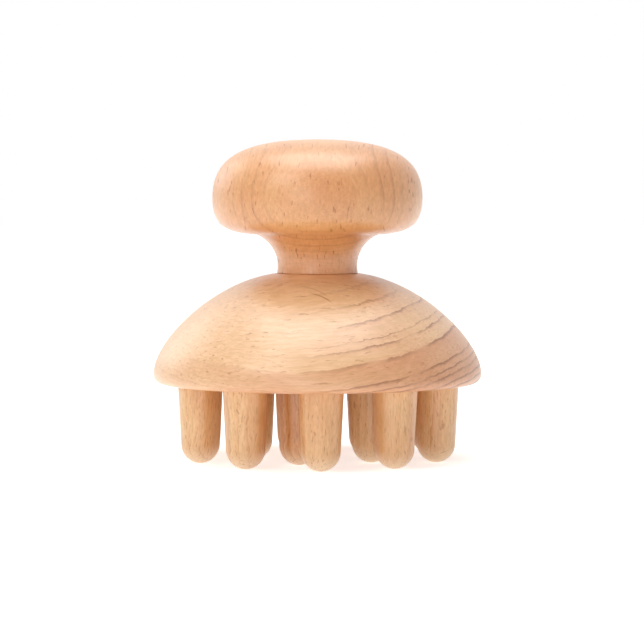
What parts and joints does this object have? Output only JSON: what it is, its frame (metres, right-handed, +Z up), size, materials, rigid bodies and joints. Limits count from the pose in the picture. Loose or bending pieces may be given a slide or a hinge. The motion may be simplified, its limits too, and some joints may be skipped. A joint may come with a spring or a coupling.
{
  "type": "scalp massager brush",
  "caption": "Hand scalp massager in turned beech: a mushroom knob on a domed head, with round-ended pegs in two rings and one in the middle.",
  "frame": {"origin": "on the turning axis, at the height of the pegs' tips, which the massager stands on", "axes": "+Z up along the turning axis from the pegs to the knob; -Y is the front, +X to its right"},
  "size_m": [0.096, 0.096, 0.0935],
  "materials": {
    "beech_head": "sanded satin, clear oil",
    "beech_handle": "sanded satin, clear oil",
    "beech_peg": "sanded satin, clear oil",
    "beech_dowel": "plain fluted dowel, glued"
  },
  "bodies": {
    "root": {"dome_head": "beech_head", "handle": "beech_handle", "handle_dowel": "beech_dowel", "peg_outer_01": "beech_peg", "peg_outer_02": "beech_peg", "peg_outer_03": "beech_peg", "peg_outer_04": "beech_peg", "peg_outer_05": "beech_peg", "peg_outer_06": "beech_peg", "peg_outer_07": "beech_peg", "peg_outer_08": "beech_peg", "peg_outer_09": "beech_peg", "peg_outer_10": "beech_peg", "peg_inner_01": "beech_peg", "peg_inner_02": "beech_peg", "peg_inner_03": "beech_peg", "peg_inner_04": "beech_peg", "peg_inner_05": "beech_peg", "peg_centre": "beech_peg"}
  },
  "joints": []
}
